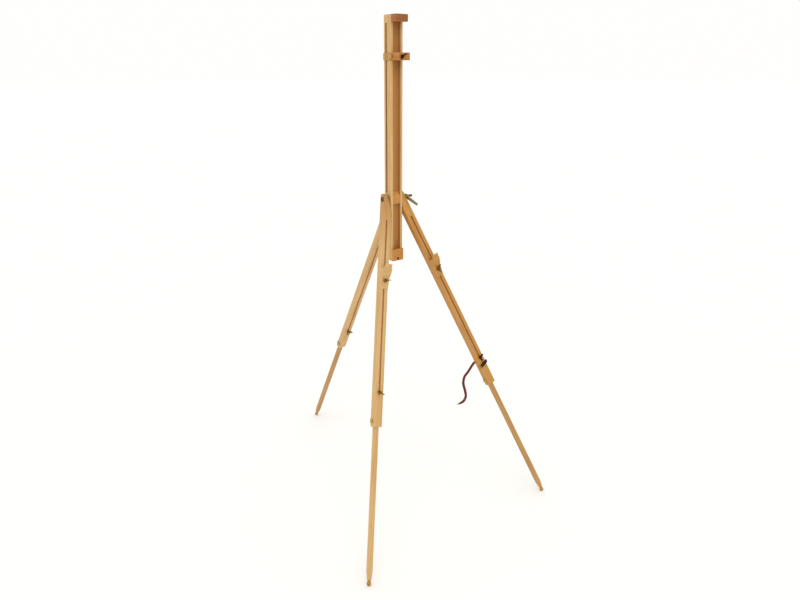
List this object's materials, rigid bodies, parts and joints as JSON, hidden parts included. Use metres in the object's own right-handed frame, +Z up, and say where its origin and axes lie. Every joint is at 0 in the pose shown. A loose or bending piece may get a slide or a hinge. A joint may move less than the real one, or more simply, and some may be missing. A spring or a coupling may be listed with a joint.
{
  "type": "tripod field easel",
  "caption": "Folding wooden field easel with telescoping tripod legs, canvas ledges on the front legs and a clip that slides on the central mast.",
  "frame": {"origin": "on the ground, under the middle of the bounding box of the easel standing open", "axes": "+Z up along the mast, +X to the right of the painter who stands in front, -Y towards that painter"},
  "size_m": [0.7836, 0.99, 1.6126],
  "materials": {
    "beech": "oiled beech, straight grained, satin",
    "amber_beech": "beech under an amber varnish",
    "brass": "bright lacquered brass",
    "dark_brass": "dull brass-plated steel",
    "zinc": "zinc plated",
    "leather": "black grain side, red-brown flesh side"
  },
  "bodies": {
    "mast": {"mast": "beech", "top_block": "amber_beech", "end_block": "amber_beech", "end_block_screw": "dark_brass", "head_block": "amber_beech", "rear_bracket": "brass", "rear_bracket_screw_upper": "brass", "rear_bracket_screw_lower": "brass", "rear_pivot_bolt": "dark_brass", "rear_pivot_nut": "dark_brass"},
    "clip": {"clip_jaw": "amber_beech", "clip_cheek_left": "beech", "clip_cheek_right": "beech", "clip_cross_bolt": "dark_brass", "clip_cross_nut": "dark_brass"},
    "clip_screw": {"clip_thumb_screw": "dark_brass"},
    "head_bolt": {"head_bolt": "dark_brass", "head_washer_left": "dark_brass"},
    "head_nut_washer": {"head_washer_right": "dark_brass"},
    "clamp_lever": {"clamp_lever": "zinc"},
    "left_saddle": {"left_saddle_plate": "zinc"},
    "left_leg": {"left_hinge_pin": "brass", "left_leg_stave": "beech", "left_retainer": "brass", "left_retainer_screw": "brass"},
    "left_ledge": {"left_ledge_block": "beech", "left_ledge_bolt": "dark_brass", "left_ledge_washer": "brass"},
    "left_ledge_nut": {"left_ledge_wing_nut": "dark_brass"},
    "right_saddle": {"right_saddle_plate": "zinc"},
    "right_leg": {"right_hinge_pin": "brass", "right_leg_stave": "beech", "right_retainer": "brass", "right_retainer_screw": "brass", "leather_strap": "leather", "strap_buckle": "brass", "strap_screw": "brass"},
    "right_ledge": {"right_ledge_block": "beech", "right_ledge_bolt": "dark_brass", "right_ledge_washer": "brass"},
    "right_ledge_nut": {"right_ledge_wing_nut": "dark_brass"},
    "rear_leg": {"rear_leg_stave": "beech", "rear_retainer": "brass", "rear_retainer_screw": "brass"},
    "left_rod": {"left_rod": "beech", "left_ferrule": "brass", "left_rod_bolt": "dark_brass", "left_rod_washer": "brass"},
    "left_rod_nut": {"left_rod_wing_nut": "dark_brass"},
    "right_rod": {"right_rod": "beech", "right_ferrule": "brass", "right_rod_bolt": "dark_brass", "right_rod_washer": "brass"},
    "right_rod_nut": {"right_rod_wing_nut": "dark_brass"},
    "rear_rod": {"rear_rod": "beech", "rear_ferrule": "brass", "rear_rod_bolt": "dark_brass", "rear_rod_washer": "brass"},
    "rear_rod_nut": {"rear_rod_wing_nut": "dark_brass"}
  },
  "joints": [
    {"name": "left_leg_swing", "type": "hinge", "parent": "mast", "child": "left_saddle", "pos_m": [-0.023, -0.09582, 1.06865], "axis": [1, 0, 0], "range_deg": [-8, 20.55]},
    {"name": "left_leg_splay", "type": "hinge", "parent": "left_saddle", "child": "left_leg", "pos_m": [-0.03, -0.1067, 1.03962], "axis": [0, -0.9364, 0.351], "range_deg": [0, 17.5]},
    {"name": "right_leg_swing", "type": "hinge", "parent": "mast", "child": "right_saddle", "pos_m": [0.023, -0.09582, 1.06865], "axis": [1, 0, 0], "range_deg": [-8, 20.55]},
    {"name": "right_leg_splay", "type": "hinge", "parent": "right_saddle", "child": "right_leg", "pos_m": [0.03, -0.1067, 1.03962], "axis": [0, 0.9364, -0.351], "range_deg": [0, 17.5], "deforming": ["leather_strap"]},
    {"name": "head_bolt_draw", "type": "slide", "parent": "mast", "child": "head_bolt", "axis": [-1, 0, 0], "range_m": [0, 0.0123]},
    {"name": "head_nut_travel", "type": "slide", "parent": "mast", "child": "head_nut_washer", "axis": [1, 0, 0], "range_m": [0, 0.0123]},
    {"name": "clamp_lever_turn", "type": "hinge", "parent": "head_nut_washer", "child": "clamp_lever", "pos_m": [0.05, -0.09582, 1.06865], "axis": [1, 0, 0], "range_deg": [-40, 110]},
    {"name": "rear_leg_swing", "type": "hinge", "parent": "mast", "child": "rear_leg", "pos_m": [0, -0.06402, 1.00965], "axis": [-1, 0, 0], "range_deg": [-8, 28.73]},
    {"name": "left_rod_slide", "type": "slide", "parent": "left_leg", "child": "left_rod", "axis": [0.3007, 0.3348, 0.893], "range_m": [0, 0.25]},
    {"name": "left_rod_nut_turn", "type": "hinge", "parent": "left_rod", "child": "left_rod_nut", "pos_m": [-0.21376, -0.31084, 0.52071], "axis": [0, -0.9364, 0.351], "continuous": true},
    {"name": "right_rod_slide", "type": "slide", "parent": "right_leg", "child": "right_rod", "axis": [-0.3007, 0.3348, 0.893], "range_m": [0, 0.25]},
    {"name": "right_rod_nut_turn", "type": "hinge", "parent": "right_rod", "child": "right_rod_nut", "pos_m": [0.21376, -0.31084, 0.52071], "axis": [0, -0.9364, 0.351], "continuous": true},
    {"name": "rear_rod_slide", "type": "slide", "parent": "rear_leg", "child": "rear_rod", "axis": [0, -0.4807, 0.8769], "range_m": [0, 0.25]},
    {"name": "rear_rod_nut_turn", "type": "hinge", "parent": "rear_rod", "child": "rear_rod_nut", "pos_m": [0, 0.20189, 0.49968], "axis": [0, -0.8769, -0.4807], "continuous": true},
    {"name": "left_ledge_slide", "type": "slide", "parent": "left_leg", "child": "left_ledge", "axis": [0.3007, 0.3348, 0.893], "range_m": [-0.04, 0.16]},
    {"name": "left_ledge_nut_turn", "type": "hinge", "parent": "left_ledge", "child": "left_ledge_nut", "pos_m": [-0.10882, -0.19962, 0.83448], "axis": [0, -0.9364, 0.351], "continuous": true},
    {"name": "right_ledge_slide", "type": "slide", "parent": "right_leg", "child": "right_ledge", "axis": [-0.3007, 0.3348, 0.893], "range_m": [-0.04, 0.16]},
    {"name": "right_ledge_nut_turn", "type": "hinge", "parent": "right_ledge", "child": "right_ledge_nut", "pos_m": [0.10882, -0.19962, 0.83448], "axis": [0, -0.9364, 0.351], "continuous": true},
    {"name": "clip_slide", "type": "slide", "parent": "mast", "child": "clip", "axis": [0, 0, 1], "range_m": [-0.37, 0.07]},
    {"name": "clip_screw_turn", "type": "hinge", "parent": "clip", "child": "clip_screw", "pos_m": [-0.008, -0.15182, 1.49665], "axis": [0, -1, 0], "continuous": true}
  ],
  "couplings": [
    {"joint": "head_bolt_draw", "follows": "left_leg_splay", "m_per_rad": 0.039943},
    {"joint": "head_nut_travel", "follows": "right_leg_splay", "m_per_rad": 0.039943}
  ]
}
